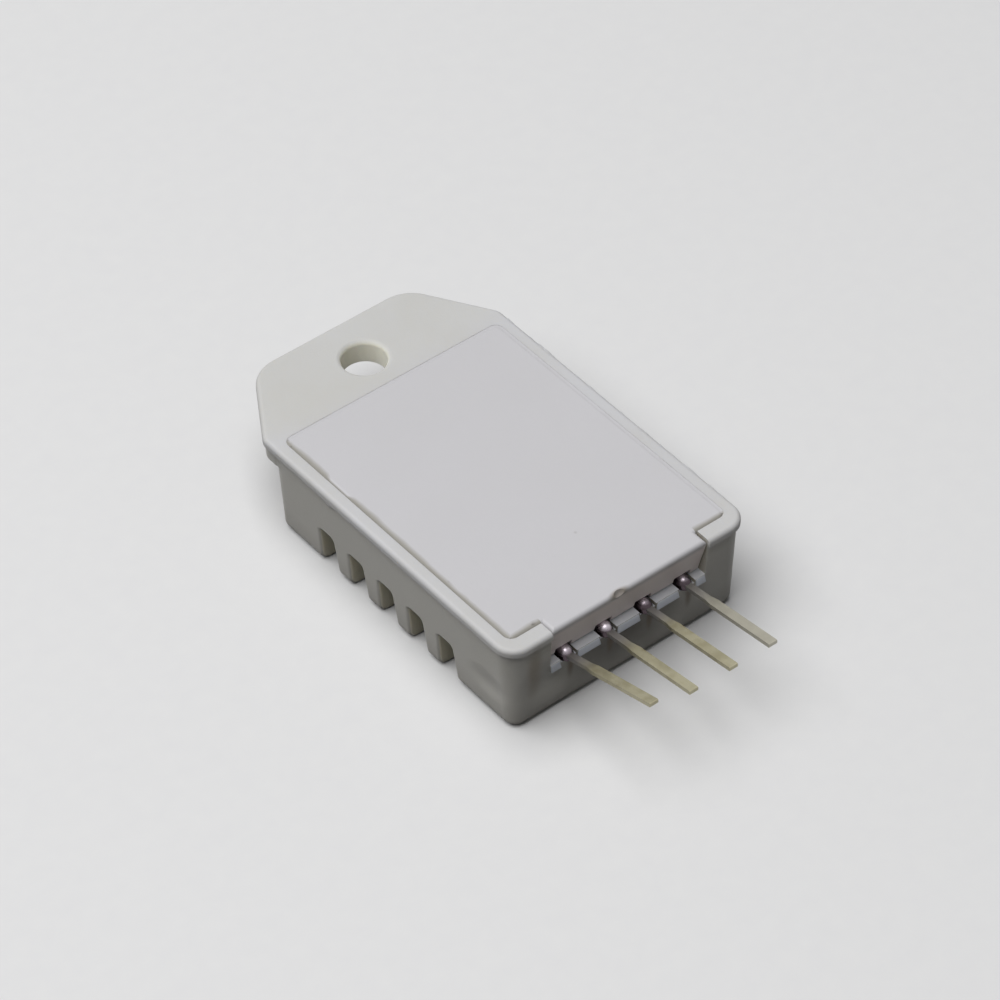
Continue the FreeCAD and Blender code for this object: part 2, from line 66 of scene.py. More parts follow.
# %% Read the places that the finishes need
housing_low, housing_high = (Vector(corner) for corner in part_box("sensor_housing"))
cover_low, cover_high = (Vector(corner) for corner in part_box("back_cover"))
board_top = max(corner[2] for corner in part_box("circuit_board"))
pin_end = housing_low.y
rim_side = housing_high.x
back_height = housing_high.z
ear_start = cover_high.y + 0.7 * MM
land_height = back_height - 2.5 * MM
tongue_half = 4.9 * MM
window_half = tongue_half + 0.1 * MM
plate_front = pin_end + 0.98 * MM
hole_y = housing_high.y - 2.95 * MM
pin_names = ("supply_pin", "data_pin", "spare_pin", "ground_pin")
pin_places = sorted(sum(corner[0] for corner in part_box(name)) / 2 for name in pin_names)
land_points = [
    point.co for point in frame["nodes"]["sensor_housing"].data.vertices
    if abs(point.co.z - land_height) < 0.02 * MM and abs(point.co.x) < window_half + 0.1 * MM
]
wall_face = min(point.y for point in land_points)
print("pin end at y =", round(pin_end / MM, 2), "mm, ear starts at", round(ear_start / MM, 2), "mm")
print("pins at x =", [round(x / MM, 2) for x in pin_places], "mm")

# %% [markdown]
# ## A shorthand for nodes
# A material is a small graph. Adding a node, setting it and wiring it takes three
# or four lines each time, so a few helpers do it: an input that is given another
# node's socket is linked, and any other value is typed into the socket.

# %% Helpers that add nodes, groups and materials
def fill(tree, socket, value):
    """Link the socket to another one, or type the value into it."""
    if isinstance(value, bpy.types.NodeSocket):
        tree.links.new(value, socket)
    else:
        socket.default_value = value


def add(tree, kind, inputs=None, **settings):
    """One shader node, with its settings and inputs filled in."""
    made = tree.nodes.new("ShaderNode" + kind)
    for key, value in settings.items():
        setattr(made, key, value)
    for key, value in (inputs or {}).items():
        fill(tree, made.inputs[key], value)
    return made


def new_group(name, inputs, outputs):
    """An empty node group. Inputs are {name: (kind, value)} and outputs {name: kind}."""
    tree = bpy.data.node_groups.new(name, "ShaderNodeTree")
    for key, (kind, value) in inputs.items():
        socket = tree.interface.new_socket(key, in_out="INPUT", socket_type="NodeSocket" + kind)
        socket.default_value = value
    for key, kind in outputs.items():
        tree.interface.new_socket(key, in_out="OUTPUT", socket_type="NodeSocket" + kind)
    return tree, tree.nodes.new("NodeGroupInput"), tree.nodes.new("NodeGroupOutput")


def use_group(tree, group, inputs):
    """A node group placed in a tree, with its inputs filled in."""
    made = tree.nodes.new("ShaderNodeGroup")
    made.node_tree = group
    for key, value in inputs.items():
        fill(tree, made.inputs[key], value)
    return made


def new_material(name, **plain):
    """A material with one Principled shader, whose plain values are set on its own sockets."""
    material = bpy.data.materials.new(name)
    material.use_nodes = True
    tree = material.node_tree
    tree.nodes.clear()
    shader = add(tree, "BsdfPrincipled", plain)
    add(tree, "OutputMaterial", {"Surface": shader.outputs["BSDF"]})
    return material, tree, shader


def colour(red, green, blue):
    """A colour as a screen shows it, from 0 to 255, as the linear numbers that a shader reads."""
    levels = [value / 255 for value in (red, green, blue)]
    return tuple(v / 12.92 if v <= 0.04045 else ((v + 0.055) / 1.055) ** 2.4 for v in levels) + (1.0,)


print("helpers ready; screen grey 200 is", round(colour(200, 200, 200)[0], 3), "in a shader")

# %% [markdown]
# The helpers below are the small steps that every finish is made of: where a point
# lies, a sum or product, a ramp from one value to another, a mix of two colours,
# and the bump that turns a height into a normal.

# %% Helpers for the steps inside a finish
def here(tree):
    """Where the shaded point lies on its piece."""
    return add(tree, "TexCoord").outputs["Object"]


def facing(tree):
    """Which way the surface looks."""
    return add(tree, "NewGeometry").outputs["Normal"]


def axes(tree, vector):
    """The x, y and z of a vector."""
    return tuple(add(tree, "SeparateXYZ", {0: vector}).outputs)


def maths(tree, operation, a, b=0.0):
    """The result of an operation on two values."""
    return add(tree, "Math", {0: a, 1: b}, operation=operation).outputs[0]


def times(tree, value, *others):
    """The product of some values, used to cut one mask by others."""
    for other in others:
        value = maths(tree, "MULTIPLY", value, other)
    return value


def ramp(tree, value, start, end, low=0.0, high=1.0, **settings):
    """A number that goes from low to high while the value goes from start to end."""
    return add(tree, "MapRange", {0: value, 1: start, 2: end, 3: low, 4: high}, **settings).outputs[0]


def blend_colours(tree, factor, first, second):
    """The first colour where the factor is 0, and the second where it is 1."""
    return add(tree, "Mix", {0: factor, 6: first, 7: second}, data_type="RGBA").outputs[2]


def bump(tree, shader, height, depth):
    """Use the height as the shader's relief; the depth is what a height of 1 stands for."""
    relief = add(tree, "Bump", {"Strength": 1.0, "Distance": depth, "Height": height})
    tree.links.new(relief.outputs[0], shader.inputs["Normal"])


print("steps ready: place, facing, sums, ramps, mixes and bumps")

# %% [markdown]
# ## Moulded plastic
# The skin of a moulded part is a copy of the steel that it was pressed against:
# a very fine grain, with slow waves where the plastic shrank. Both come from
# noise read at the object's own coordinates, so the pattern sits still on the
# part. They are put in a group, since the housing, the cover and all the ceramic
# and epoxy parts use them, each with values of its own.

# %% Shader group: the skin that a mould leaves
skin, skin_in, skin_out = new_group(
    "moulded_skin",
    {"Grain Per Metre": ("Float", 9000.0), "Waves Per Metre": ("Float", 260.0)},
    {"Grain": "Float", "Waves": "Float", "Clouds": "Float"},
)
place = here(skin)
grain = add(skin, "TexNoise", {"Vector": place, "Scale": skin_in.outputs[0], "Detail": 3.0, "Roughness": 0.6})
waves = add(skin, "TexNoise", {"Vector": place, "Scale": skin_in.outputs[1], "Detail": 1.0, "Roughness": 0.4})
cloud_size = times(skin, skin_in.outputs[1], 0.55)
clouds = add(skin, "TexNoise", {"Vector": place, "Scale": cloud_size, "Detail": 4.0, "Distortion": 0.4})
skin.links.new(grain.outputs[0], skin_out.inputs["Grain"])
skin.links.new(waves.outputs[0], skin_out.inputs["Waves"])
skin.links.new(ramp(skin, clouds.outputs[0], 0.36, 0.64), skin_out.inputs["Clouds"])
print("group:", skin.name, [socket.name for socket in skin_out.inputs if socket.name])

# %% [markdown]
# ## Specks
# Up close a white part always carries a few dark crumbs and dust specks. A Voronoi
# texture gives one random point per cell; near its point a cell turns dark, and a
# random number per cell keeps most of them out, so that the specks stay rare.

# %% Shader group: rare specks of dust
specks, specks_in, specks_out = new_group(
    "dust_specks",
    {"Cells Per Metre": ("Float", 1100.0), "Speck Size": ("Float", 0.06), "Share": ("Float", 0.1)},
    {"Mask": "Float"},
)
place = here(specks)
fray = (0.12 * MM, 0.12 * MM, 0.12 * MM)
uneven = add(specks, "TexNoise", {"Vector": place, "Scale": 9000.0, "Detail": 2.0})
shift = add(specks, "VectorMath", {0: uneven.outputs["Color"], 1: fray}, operation="MULTIPLY")
moved = add(specks, "VectorMath", {0: place, 1: shift.outputs[0]}, operation="ADD")
cells = add(specks, "TexVoronoi", {"Vector": moved.outputs[0], "Scale": specks_in.outputs[0]})
near = ramp(specks, cells.outputs["Distance"], 0.0, specks_in.outputs[1], 1.0, 0.0)
chance = add(specks, "SeparateColor", {0: cells.outputs["Color"]}).outputs[0]
kept = maths(specks, "LESS_THAN", chance, specks_in.outputs[2])
specks.links.new(times(specks, near, kept), specks_out.inputs["Mask"])
print("group:", specks.name)

# %% [markdown]
# ## Dirt and painted shade in corners
# Dirt stays where a finger or cloth can't reach: in the seam around the cover and
# in the corners of the vents. These are also the places where shade falls, so the
# darkening is partly dirt and partly painted shade. An Ambient Occlusion node finds
# such places, because it measures how much of the near surroundings is closed in.
# Beside the ear the seam is too tight to hold any dirt, so there the mask fades out.

# %% Shader group: dirt and painted shade in the closed-in corners
grime_and_shade, shade_grime_in, shade_grime_out = new_group(
    "corner_grime_and_shade",
    {"Reach": ("Float", 0.0004), "Amount": ("Float", 1.0)},
    {"Mask": "Float"},
)
closed_in = add(grime_and_shade, "AmbientOcclusion", {"Distance": shade_grime_in.outputs[0]}, samples=8)
dark = ramp(grime_and_shade, closed_in.outputs["AO"], 0.75, 0.15)
patches = add(grime_and_shade, "TexNoise", {"Vector": here(grime_and_shade), "Scale": 1300.0, "Detail": 3.0})
patchy = ramp(grime_and_shade, patches.outputs[0], 0.3, 0.7, 0.35, 1.0)
grime_and_shade.links.new(times(grime_and_shade, dark, patchy, shade_grime_in.outputs[1]), shade_grime_out.inputs["Mask"])


def seam_dirt_and_shade(tree, y, reach, amount):
    """Dirt and painted shade in tight corners, which fade out beside the ear."""
    dirt = use_group(tree, grime_and_shade, {"Reach": reach, "Amount": amount})
    loose_seam = ramp(tree, y, cover_high.y - 0.6 * MM, cover_high.y - 0.3 * MM, 1.0, 0.1)
    return times(tree, dirt.outputs[0], loose_seam)


print("group:", grime_and_shade.name)

# %% [markdown]
# ## Marks at a given place
# A sink mark, a stain or the wall of a hole is at one place only. A soft oval mask
# around a given centre is enough for all of them. Its half widths are given along
# x, y and z, and its softness says how much of it is taken up by the fading edge.

# %% Shader group: a soft oval at a given place
oval, oval_in, oval_out = new_group(
    "soft_oval",
    {
        "Centre": ("Vector", (0.0, 0.0, 0.0)),
        "Size": ("Vector", (0.001, 0.001, 0.001)),
        "Softness": ("Float", 0.5),
    },
    {"Mask": "Float"},
)
offset = add(oval, "VectorMath", {0: here(oval), 1: oval_in.outputs[0]}, operation="SUBTRACT")
scaled = add(oval, "VectorMath", {0: offset.outputs[0], 1: oval_in.outputs[1]}, operation="DIVIDE")
distance = add(oval, "VectorMath", {0: scaled.outputs[0]}, operation="LENGTH").outputs["Value"]
inner = maths(oval, "SUBTRACT", 1.0, oval_in.outputs[2])
inside = ramp(oval, distance, 1.0, inner, interpolation_type="SMOOTHSTEP")
oval.links.new(inside, oval_out.inputs["Mask"])


def spot(tree, centre, half_widths_mm, softness):
    """The mask of a soft oval around a centre; its half widths are in millimetres."""
    size = tuple(width * MM for width in half_widths_mm)
    return use_group(tree, oval, {"Centre": centre, "Size": size, "Softness": softness}).outputs[0]


print("group:", oval.name)

# %% [markdown]
# ## The housing's plastic
# The housing is white plastic with a satin skin. In the light it is faintly warm on
# the thin ear, while the rim around the cover looks cooler and the walls a little
# yellower. These whites are mixed by place, then come clouds, dirt and painted shade
# in the closed-in corners, and specks, and the foot of the walls is darkened with
# painted shade. A little light enters the plastic, so subsurface scattering softens
# its edges.

# %% Finish: the housing's white plastic
case_finish, tree, shader = new_material("warm_white_plastic", **{
    "IOR": 1.5, "Specular IOR Level": 0.25, "Subsurface Weight": 0.2,
    "Subsurface Scale": 0.0007, "Subsurface Radius": (1.0, 0.92, 0.76),
})
rim_white = colour(200, 200, 202)
ear_white = colour(200, 200, 199)
wall_white = colour(196, 194, 187)
_, y, z = axes(tree, here(tree))
_, look_y, look_z = axes(tree, facing(tree))
surface = use_group(tree, skin, {"Grain Per Metre": 8200.0, "Waves Per Metre": 300.0})
to_ear = ramp(tree, y, ear_start - 0.8 * MM, ear_start + 0.6 * MM)
to_wall = ramp(tree, z, back_height - 0.2 * MM, back_height - 0.9 * MM)
tint = blend_colours(tree, to_ear, rim_white, ear_white)
tint = blend_colours(tree, to_wall, tint, wall_white)
tint = blend_colours(tree, times(tree, surface.outputs["Clouds"], 0.35), tint, colour(190, 188, 180))
# dirt and painted shade in the seam and the tight corners of the housing
tint = blend_colours(tree, seam_dirt_and_shade(tree, y, 0.3 * MM, 0.3), tint, colour(142, 131, 112))
# painted shade in the recesses, such as the vents and under the rim's lip
deep_shade = use_group(tree, grime_and_shade, {"Reach": 1.2 * MM, "Amount": 0.5})
tint = blend_colours(tree, deep_shade.outputs[0], tint, colour(160, 150, 118))
dust = use_group(tree, specks, {"Cells Per Metre": 620.0, "Speck Size": 0.07, "Share": 0.12})
tint = blend_colours(tree, times(tree, dust.outputs[0], 0.5), tint, colour(120, 108, 92))
# painted shade: the foot of the walls is darkened, where little light reaches it
foot_shade = ramp(tree, z, 1.8 * MM, 0.3 * MM, 0.0, 0.45)
tint = blend_colours(tree, foot_shade, tint, colour(158, 155, 148))
gloss = ramp(tree, surface.outputs["Grain"], 0.3, 0.7, 0.40, 0.54)
tree.links.new(gloss, shader.inputs["Roughness"])
print("finish:", case_finish.name)

# %% [markdown]
# Some places are painted lighter. The ribs between the vents and the thin wall of the
# screw hole let light through, and their cream is painted light for it. Faces that
# look up below the rim, such as the flat land between the pins, get a cool painted
# light, and so do the lips in front of the land, which stand a little proud of the
# wall; the painted shade below them is kept off the lips.

# %% Painted light on the ribs, the land and its lips
# painted light: the ribs between the vents are painted cream, for light let through them
across = ramp(tree, maths(tree, "ABSOLUTE", look_y), 0.75, 0.95)
below_arches = ramp(tree, z, back_height - 2.1 * MM, back_height - 2.5 * MM)
behind_corner = ramp(tree, y, pin_end + 2.0 * MM, pin_end + 2.5 * MM)
tint = blend_colours(tree, times(tree, across, below_arches, behind_corner, 0.8), tint, colour(250, 244, 222))
# painted light: faces that look up below the rim are painted a cool, lighter white
level = ramp(tree, look_z, 0.5, 0.8)
below_rim = ramp(tree, z, back_height - 0.8 * MM, back_height - 1.0 * MM)
tint = blend_colours(tree, times(tree, level, below_rim), tint, colour(226, 228, 232))
# painted light: the lips in front of the land are painted as light as the land
proud = ramp(tree, y, wall_face - 0.005 * MM, wall_face - 0.02 * MM)
at_land = spot(tree, (0.0, wall_face, land_height - 0.25 * MM), (30.0, 0.6, 0.36), 0.1)
lit_lip = times(tree, proud, at_land)
tint = blend_colours(tree, lit_lip, tint, colour(206, 210, 218))
print("lighter places: ribs, land and lips")

# %% [markdown]
# Other places are darker. Below the land the wall is greyed with painted shade,
# where the tongue and the pins shade it, and a painted shadow of each pin runs down
# the wall below it. Brown flux has run down and dried beside the left corner. These
# marks keep to upright walls. The screw hole comes last: its wall gets a painted
# cream light, for light that passes through the thin ear, which starts just below
# the back, so the face around it stays white.

# %% Painted shade, dried flux, pin shadows and painted light in the screw hole
flat = maths(tree, "ADD", level, lit_lip)
upright = maths(tree, "MAXIMUM", maths(tree, "SUBTRACT", 1.0, flat), 0.0)
# painted shade: the pin-end wall below the land is greyed where the tongue and pins shade it
pin_end_shade = spot(tree, (-0.3 * MM, pin_end, back_height - 3.4 * MM), (5.7, 1.6, 2.3), 0.8)
tint = blend_colours(tree, times(tree, pin_end_shade, upright, 0.85), tint, colour(102, 98, 92))
corner_run = (-rim_side + 1.7 * MM, pin_end + 0.2 * MM, back_height - 2.2 * MM)
streak = spot(tree, corner_run, (0.7, 0.9, 2.6), 0.9)
tint = blend_colours(tree, times(tree, streak, upright, 0.55), tint, colour(138, 122, 98))
# painted shadows: a dark stripe below each pin stands for the pin's shadow on the wall
for pin_x in pin_places:
    run = spot(tree, (pin_x + 0.15 * MM, wall_face, land_height - 0.9 * MM), (0.32, 0.6, 1.1), 0.9)
    tint = blend_colours(tree, times(tree, run, upright, 0.6), tint, colour(112, 92, 70))
# painted light: the screw hole's wall is painted a light cream, for light through the thin ear
hole_painted_light = spot(tree, (0.0, hole_y, back_height - 0.8 * MM), (1.65, 1.65, 2.2), 0.15)
below_back = ramp(tree, z, back_height - 0.02 * MM, back_height - 0.2 * MM)
tint = blend_colours(tree, times(tree, hole_painted_light, below_back), tint, colour(253, 251, 238))
tree.links.new(tint, shader.inputs["Base Color"])
print("stains: smoke, a run at the corner and", len(pin_places), "runs below the pins")

# %% [markdown]
# The height of the skin is added up from its parts: fine grain, slow waves, and
# two sink marks near the pin end, where a thick wall shrank as it cooled. One Bump
# node turns the sum into a normal. Its distance is the depth that a height of 1
# stands for, here four hundredths of a millimetre.

# %% Height of the housing's skin, with its sink marks
left_place = (-rim_side + 0.35 * MM, pin_end + 2.2 * MM, back_height - 3.7 * MM)
front_place = (-4.9 * MM, pin_end + 0.35 * MM, back_height - 3.5 * MM)
left_sink = spot(tree, left_place, (1.0, 1.7, 1.1), 0.9)
front_sink = spot(tree, front_place, (2.4, 1.0, 1.8), 1.0)
sunk = maths(tree, "ADD", left_sink, times(tree, front_sink, 2.2))
height = times(tree, surface.outputs["Grain"], 0.16)
height = maths(tree, "ADD", height, times(tree, surface.outputs["Waves"], 1.2))
height = maths(tree, "SUBTRACT", height, times(tree, sunk, 2.6))
SKIN_DEPTH = 0.04 * MM
bump(tree, shader, height, SKIN_DEPTH)
print("sink marks: left wall and pin-end wall")

# %% [markdown]
# ## The cover's plastic
# The cover is a separate moulding and comes from another batch: a cooler, plainer
# white, smoother than the housing. The end face of its tongue, right above the
# pins, is painted paler, as painted light for the shade it lies in, with a faint
# pink cast, and the gate mark on it is stained brown.

# %% Finish: the back cover's cool white plastic
cover_finish, tree, shader = new_material("cool_white_plastic", **{
    "IOR": 1.5, "Specular IOR Level": 0.3, "Subsurface Weight": 0.1,
    "Subsurface Scale": 0.0004, "Subsurface Radius": (1.0, 0.95, 0.9),
})
place = here(tree)
x, y, z = axes(tree, place)
surface = use_group(tree, skin, {"Grain Per Metre": 6500.0, "Waves Per Metre": 210.0})
cloudy = times(tree, surface.outputs["Clouds"], 0.3)
tint = blend_colours(tree, cloudy, colour(199, 198, 201), colour(194, 193, 195))
# painted light: the end face of the tongue is painted paler against its shade
at_tongue = ramp(tree, y, pin_end + 1.3 * MM, pin_end + 0.9 * MM)
on_face = ramp(tree, z, back_height - 0.15 * MM, back_height - 0.6 * MM)
tint = blend_colours(tree, times(tree, at_tongue, on_face, 0.9), tint, colour(248, 238, 234))
gate = spot(tree, (-0.7 * MM, pin_end, back_height), (0.85, 0.5, 0.55), 0.6)
tint = blend_colours(tree, times(tree, gate, 0.9), tint, colour(122, 111, 94))
# dirt and painted shade in the seam around the cover
tint = blend_colours(tree, seam_dirt_and_shade(tree, y, 0.25 * MM, 0.2), tint, colour(136, 129, 119))
dust = use_group(tree, specks, {"Cells Per Metre": 420.0, "Speck Size": 0.05, "Share": 0.16})
tint = blend_colours(tree, times(tree, dust.outputs[0], 0.35), tint, colour(140, 134, 130))
height = maths(tree, "ADD", times(tree, surface.outputs["Grain"], 0.12), surface.outputs["Waves"])
bump(tree, shader, height, SKIN_DEPTH)
print("finish:", cover_finish.name)

# %% [markdown]
# On the left and at the pin end the cover's edge is rounded, and the rounding gets
# a strip of painted shade, with a few crumbs of dirt in it. Its width comes from
# noise and is pinched where the flash presses on the seam. The tongue has no such
# strip, so there the distance from the front edge is made large.

# %% Painted shade along the rounded edges of the cover, with crumbs
wander = add(tree, "TexNoise", {"Vector": place, "Scale": 420.0, "Detail": 2.0})
pinch = spot(tree, (cover_low.x, 5.6 * MM, back_height), (1.0, 1.3, 1.0), 0.5)
width = ramp(tree, wander.outputs[0], 0.3, 0.7, 0.26 * MM, 0.44 * MM)
width = times(tree, width, maths(tree, "SUBTRACT", 1.0, times(tree, pinch, 0.65)))
on_tongue = maths(tree, "LESS_THAN", maths(tree, "ABSOLUTE", x), tongue_half + 0.03 * MM)
from_left = maths(tree, "SUBTRACT", x, cover_low.x)
from_front = maths(tree, "SUBTRACT", y, plate_front)
from_front = maths(tree, "ADD", from_front, times(tree, on_tongue, 10.0 * MM))
from_edge = maths(tree, "MINIMUM", from_left, from_front)
# painted shade: a darker strip along the rounded edge stands for its shading
edge_shade = ramp(tree, from_edge, width, times(tree, width, 0.35), 0.0, 0.9)
tint = blend_colours(tree, edge_shade, tint, colour(150, 147, 139))
crumbs = use_group(tree, specks, {"Cells Per Metre": 1500.0, "Speck Size": 0.24, "Share": 0.3})
tint = blend_colours(tree, times(tree, crumbs.outputs[0], edge_shade), tint, colour(70, 64, 58))
tree.links.new(tint, shader.inputs["Base Color"])
gloss = ramp(tree, surface.outputs["Grain"], 0.3, 0.7, 0.38, 0.48)
dull = maths(tree, "ADD", gloss, times(tree, edge_shade, 0.3))
tree.links.new(dull, shader.inputs["Roughness"])
print("dirty band: left and pin-end edges of the cover")

# %% [markdown]
# ## Metal that has been drawn and dipped
# Pins are cut from tinned strip. The tin is dull and a little yellow, with fine
# lines along the strip, so the noise is stretched along y. The same group is used
# for wires and leads; only its direction and colours change.

# %% Shader group: lines along a strip
lines, lines_in, lines_out = new_group(
    "drawn_lines",
    {"Stretch": ("Vector", (9000.0, 500.0, 9000.0))},
    {"Lines": "Float", "Patches": "Float"},
)
place = here(lines)
stretched = add(lines, "VectorMath", {0: place, 1: lines_in.outputs[0]}, operation="MULTIPLY")
fine = {"Vector": stretched.outputs[0], "Scale": 1.0, "Detail": 4.0, "Roughness": 0.65}
streaks = add(lines, "TexNoise", fine)
spots = add(lines, "TexNoise", {"Vector": place, "Scale": 1500.0, "Detail": 3.0})
lines.links.new(streaks.outputs[0], lines_out.inputs["Lines"])
lines.links.new(ramp(lines, spots.outputs[0], 0.4, 0.65), lines_out.inputs["Patches"])
print("group:", lines.name)


def metal_finish(name, bright, dull, stretch, rough, depth, metallic=1.0):
    """Metal with lines along it and dull patches; returns the parts that may be wired further."""
    material, tree, shader = new_material(name, Metallic=metallic)
    wear = use_group(tree, lines, {"Stretch": stretch})
    tint = blend_colours(tree, wear.outputs["Patches"], bright, dull)
    tint = blend_colours(tree, ramp(tree, wear.outputs["Lines"], 0.3, 0.7, 0.0, 0.35), tint, dull)
    gloss = ramp(tree, wear.outputs["Lines"], 0.3, 0.7, *rough)
    tree.links.new(tint, shader.inputs["Base Color"])
    tree.links.new(gloss, shader.inputs["Roughness"])
    bump(tree, shader, wear.outputs["Lines"], depth)
    print("finish:", name)
    return material, tree, shader, tint


# %% [markdown]
# On the pins the tin turns grey and brighter near the body, where the solder has
# crept along the neck. That is one more mix, driven by y. The outermost pin is
# greyer all over. The lower part of each solder drop is darkened, partly scorched
# flux at its foot and partly painted shade for the dark reflection it would show,
# and this darkening reaches higher on the two drops at the right.

# %% Finishes: pins, wires, solder and component ends
ALONG_Y = (9000.0, 420.0, 9000.0)
ALONG_Z = (2500.0, 2500.0, 900.0)
ALONG_X = (1200.0, 8000.0, 8000.0)
pin_finish, tree, shader, tint = metal_finish(
    "dull_yellowish_tin", colour(177, 172, 147), colour(157, 151, 125),
    ALONG_Y, (0.34, 0.52), 0.006 * MM, metallic=0.85)
x, y, _ = axes(tree, here(tree))
wetted = ramp(tree, y, pin_end - 1.7 * MM, pin_end - 0.5 * MM)
tint = blend_colours(tree, wetted, tint, colour(166, 163, 160))
outermost = ramp(tree, x, 3.0 * MM, 3.4 * MM, 0.0, 0.55)
tint = blend_colours(tree, outermost, tint, colour(178, 176, 170))
tree.links.new(tint, shader.inputs["Base Color"])

solder_finish, tree, shader, tint = metal_finish(
    "bright_solder", colour(232, 224, 231), colour(168, 156, 165),
    (2500.0, 2500.0, 2500.0), (0.22, 0.34), 0.01 * MM)
x, _, z = axes(tree, here(tree))
# scorched flux and painted shade on the lower part of each drop, higher on the right
higher_darkening = ramp(tree, x, 0.2 * MM, 0.6 * MM, 0.0, 0.12 * MM)
drop_height = maths(tree, "SUBTRACT", z, higher_darkening)
burnt_flux_and_shade = ramp(tree, drop_height, board_top + 0.52 * MM, board_top + 0.3 * MM)
tint = blend_colours(tree, burnt_flux_and_shade, tint, colour(84, 74, 79))
tree.links.new(tint, shader.inputs["Base Color"])

wire_finish, *_ = metal_finish(
    "tinned_wire", colour(206, 204, 198), colour(160, 156, 146), ALONG_Z, (0.25, 0.42), 0.008 * MM)
lead_finish, *_ = metal_finish(
    "matt_tinned_lead", colour(198, 197, 194), colour(164, 162, 158), ALONG_X, (0.3, 0.46), 0.005 * MM)
cap_finish, *_ = metal_finish(
    "barrel_plated_end", colour(204, 202, 198), colour(168, 165, 158),
    (5200.0, 5200.0, 5200.0), (0.32, 0.5), 0.01 * MM)

# %% [markdown]
# ## The circuit board
# A board is glass cloth and resin under a thin green lacquer, with copper tracks
# that show through as a raised, lighter green. A Voronoi texture measured with the
# Chebychev distance has edges that run straight and at 45 degrees, as tracks do.
# The sawn edge of the board has no lacquer and shows the yellowish glass.

# %% Finish: green board with tracks and bare edges
board_finish, tree, shader = new_material(
    "green_lacquered_board", **{"Coat Weight": 0.35, "Coat Roughness": 0.2, "IOR": 1.5})
place = here(tree)
flattened = add(tree, "VectorMath", {0: place, 1: (1.0, 1.0, 0.0)}, operation="MULTIPLY")
tiling = {"Vector": flattened.outputs[0], "Scale": 560.0}
near_cell = add(tree, "TexVoronoi", tiling, distance="CHEBYCHEV")
next_cell = add(tree, "TexVoronoi", tiling, distance="CHEBYCHEV", feature="F2")
gap = maths(tree, "SUBTRACT", next_cell.outputs["Distance"], near_cell.outputs["Distance"])
track = ramp(tree, gap, 0.10, 0.16, 1.0, 0.0)
cloth = {"Vector": place, "Scale": 900.0, "Distortion": 1.5, "Detail": 2.0}
weave = add(tree, "TexWave", cloth, bands_direction="DIAGONAL").outputs[1]
lacquer = blend_colours(tree, weave, colour(24, 82, 52), colour(28, 92, 58))
lacquer = blend_colours(tree, track, lacquer, colour(52, 128, 78))
glass = blend_colours(tree, weave, colour(182, 170, 112), colour(150, 140, 88))
look_z = axes(tree, facing(tree))[2]
edge_on = maths(tree, "LESS_THAN", maths(tree, "ABSOLUTE", look_z), 0.5)
tree.links.new(blend_colours(tree, edge_on, lacquer, glass), shader.inputs["Base Color"])
tree.links.new(ramp(tree, edge_on, 0.0, 1.0, 0.32, 0.75), shader.inputs["Roughness"])
bump(tree, shader, maths(tree, "ADD", track, times(tree, weave, 0.15)), 0.03 * MM)
print("finish:", board_finish.name)

# %% [markdown]
# ## Dark and pale components
# The chip, the resistors and the sensing parts are stone-like: pressed epoxy, fired
# ceramic, printed film. They share one builder: a base colour broken up by grain,
# a second colour in patches, and a bump as deep as their real roughness.

# %% Builder for fired, pressed and printed surfaces
def stony_finish(name, base, second, grain_size, patches, rough, depth, **plain):
    """Fine-grained solid surface: base colour, patches of a second one, and bump."""
    material, tree, shader = new_material(name, **plain)
    surface = use_group(tree, skin, {"Grain Per Metre": grain_size, "Waves Per Metre": grain_size / 12})
    tint = blend_colours(tree, times(tree, surface.outputs["Clouds"], patches), base, second)
    tint = blend_colours(tree, ramp(tree, surface.outputs["Grain"], 0.55, 0.8, 0.0, 0.4), tint, second)
    gloss = ramp(tree, surface.outputs["Grain"], 0.3, 0.7, *rough)
    tree.links.new(tint, shader.inputs["Base Color"])
    tree.links.new(gloss, shader.inputs["Roughness"])
    bump(tree, shader, surface.outputs["Grain"], depth)
    print("finish:", name)
    return material, tree, shader, tint


ceramic_finish, *_ = stony_finish(
    "fired_white_ceramic", colour(226, 223, 214), colour(204, 198, 184), 7000.0, 0.5, (0.5, 0.7), 0.02 * MM)
film_finish, *_ = stony_finish(
    "printed_carbon_film", colour(58, 56, 58), colour(84, 80, 76), 9000.0, 0.6, (0.45, 0.65), 0.02 * MM)
bead_finish, *_ = stony_finish(
    "dark_bead_epoxy", colour(44, 36, 32), colour(66, 52, 42),
    2600.0, 0.7, (0.16, 0.3), 0.02 * MM, **{"Coat Weight": 0.5})
chip_finish, *_ = stony_finish(
    "pressed_black_epoxy", colour(40, 40, 42), colour(56, 56, 58), 9500.0, 0.4, (0.5, 0.66), 0.03 * MM)
capacitor_finish, *_ = stony_finish(
    "tan_capacitor_ceramic", colour(172, 142, 104), colour(146, 116, 82), 5200.0, 0.5, (0.4, 0.55), 0.01 * MM)

# %% [markdown]
# A chip resistor is a white ceramic block with a black printed film on top only.
# The normal tells which way a face looks, so the film is laid where it points up.

# %% Finish: chip resistors, black film over white ceramic
resistor_finish, tree, shader, tint = stony_finish(
    "resistor_film_on_ceramic", colour(222, 220, 212), colour(200, 196, 186),
    6500.0, 0.4, (0.4, 0.6), 0.01 * MM)
look_z = axes(tree, facing(tree))[2]
upward = maths(tree, "GREATER_THAN", look_z, 0.5)
mottle = add(tree, "TexNoise", {"Scale": 1400.0}).outputs[0]
film = blend_colours(tree, mottle, colour(26, 26, 28), colour(44, 43, 44))
tree.links.new(blend_colours(tree, upward, tint, film), shader.inputs["Base Color"])

# %% [markdown]
# ## Each slot gets its finish
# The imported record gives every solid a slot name, such as case or pin. A table
# from slot to finish is all that is needed to dress the solids. The meshes
# themselves are left as they are.

